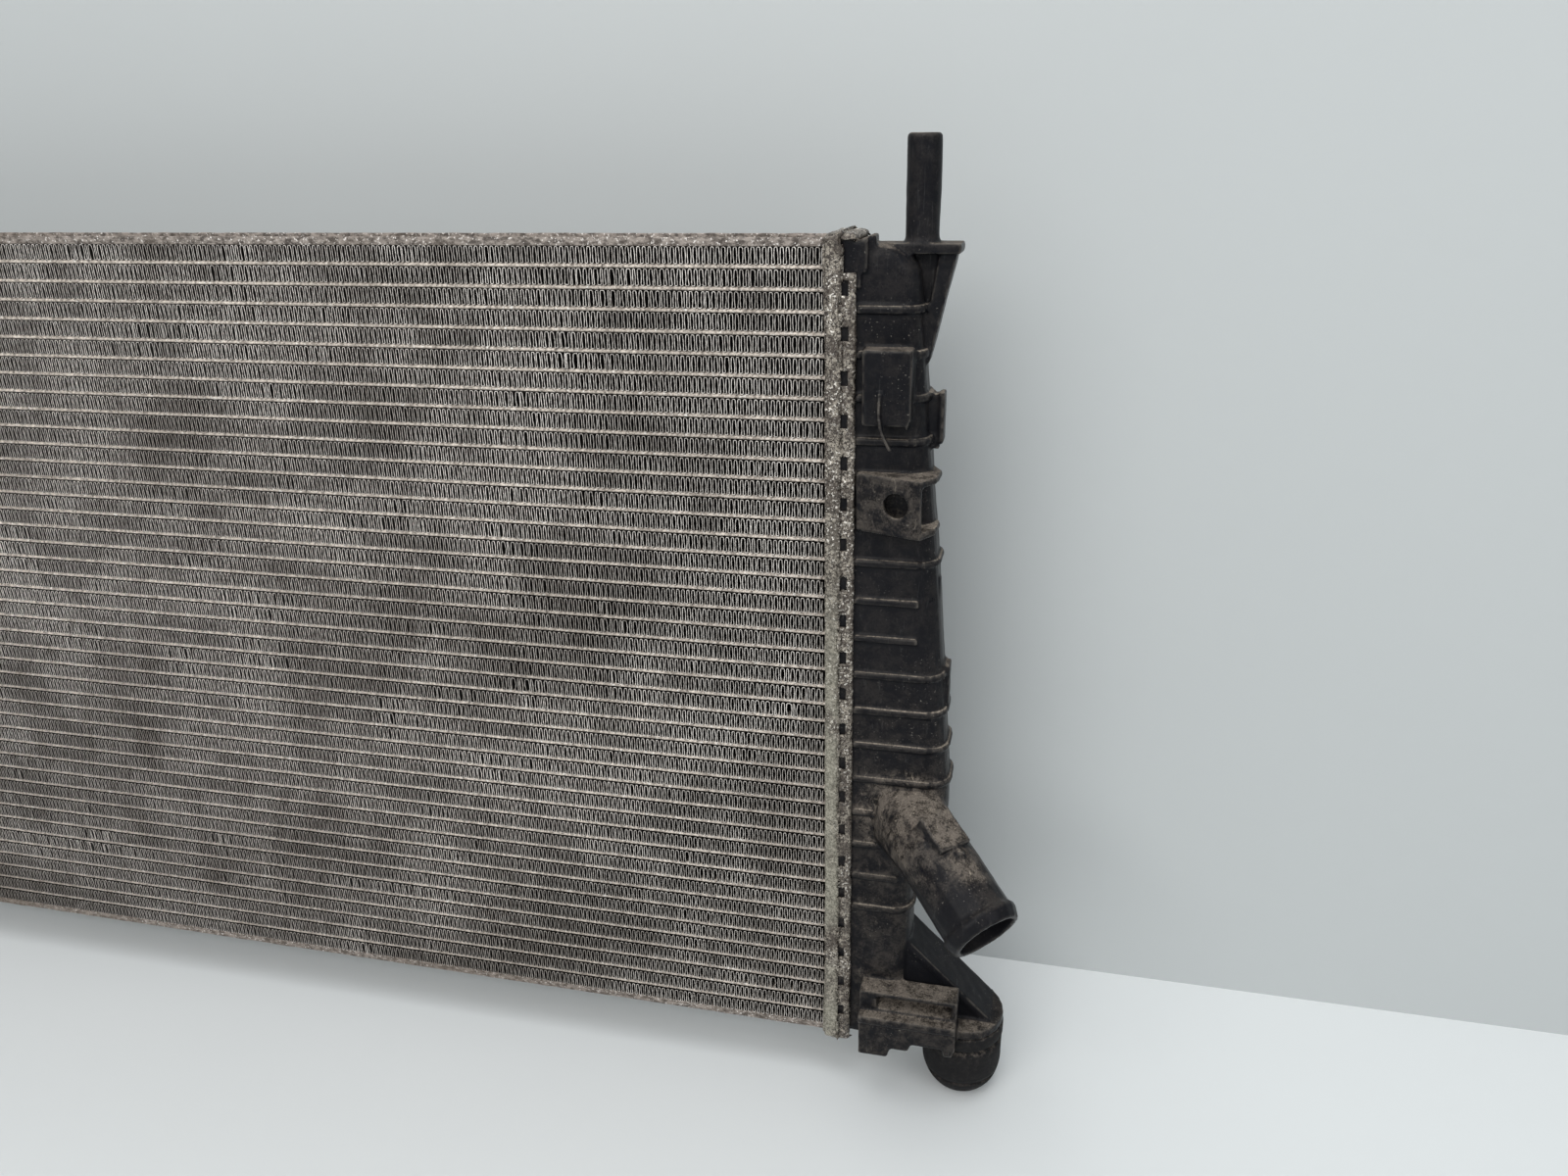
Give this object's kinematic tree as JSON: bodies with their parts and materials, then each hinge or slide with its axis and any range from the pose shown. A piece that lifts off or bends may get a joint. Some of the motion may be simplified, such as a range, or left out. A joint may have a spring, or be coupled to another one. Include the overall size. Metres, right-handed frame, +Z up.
{
  "type": "car radiator",
  "caption": "Car radiator: flat aluminium tubes and folded fins between crimped header plates and two ribbed plastic side tanks with pins, rubber feet and hose stubs.",
  "frame": {"origin": "middle of the part, at the height of the rubber feet's ends", "axes": "+X along the tubes to the outlet's tank, +Y through the core to the engine side, +Z up"},
  "size_m": [0.8594, 0.0965, 0.4698],
  "materials": {
    "tube_metal": "weathered, matt",
    "fin_metal": "weathered, dusty",
    "header_metal": "corroded, rough",
    "side_plate_metal": "weathered, dusty",
    "tank_plastic": "moulded, dusty, scuffed",
    "plug_plastic": "moulded",
    "gasket_rubber": "smooth",
    "bush_rubber": "matt"
  },
  "bodies": {
    "radiator": {"tube_01": "tube_metal", "tube_02": "tube_metal", "tube_03": "tube_metal", "tube_04": "tube_metal", "tube_05": "tube_metal", "tube_06": "tube_metal", "tube_07": "tube_metal", "tube_08": "tube_metal", "tube_09": "tube_metal", "tube_10": "tube_metal", "tube_11": "tube_metal", "tube_12": "tube_metal", "tube_13": "tube_metal", "tube_14": "tube_metal", "tube_15": "tube_metal", "tube_16": "tube_metal", "tube_17": "tube_metal", "tube_18": "tube_metal", "tube_19": "tube_metal", "tube_20": "tube_metal", "tube_21": "tube_metal", "tube_22": "tube_metal", "tube_23": "tube_metal", "tube_24": "tube_metal", "tube_25": "tube_metal", "tube_26": "tube_metal", "tube_27": "tube_metal", "tube_28": "tube_metal", "tube_29": "tube_metal", "tube_30": "tube_metal", "tube_31": "tube_metal", "tube_32": "tube_metal", "tube_33": "tube_metal", "tube_34": "tube_metal", "tube_35": "tube_metal", "tube_36": "tube_metal", "tube_37": "tube_metal", "tube_38": "tube_metal", "tube_39": "tube_metal", "tube_40": "tube_metal", "tube_41": "tube_metal", "tube_42": "tube_metal", "tube_43": "tube_metal", "fin_pack": "fin_metal", "side_plate_top": "side_plate_metal", "side_plate_bottom": "side_plate_metal", "header_plate_right": "header_metal", "gasket_right": "gasket_rubber", "tank_right": "tank_plastic", "lower_bush_right": "bush_rubber", "header_plate_left": "header_metal", "gasket_left": "gasket_rubber", "tank_left": "tank_plastic", "lower_bush_left": "bush_rubber"},
    "drain_plug_seal": {"drain_plug_seal": "gasket_rubber"},
    "drain_plug": {"drain_plug": "plug_plastic"}
  },
  "joints": [
    {"name": "drain_plug_slide", "type": "slide", "parent": "radiator", "child": "drain_plug_seal", "axis": [0, -1, 0], "range_m": [0, 0.0075]},
    {"name": "drain_plug_turn", "type": "hinge", "parent": "drain_plug_seal", "child": "drain_plug", "pos_m": [-0.367, 0, 0.0943], "axis": [0, -1, 0], "range_deg": [0, 1080]}
  ],
  "couplings": [
    {"joint": "drain_plug_slide", "follows": "drain_plug_turn", "m_per_rad": 0.00039788}
  ]
}
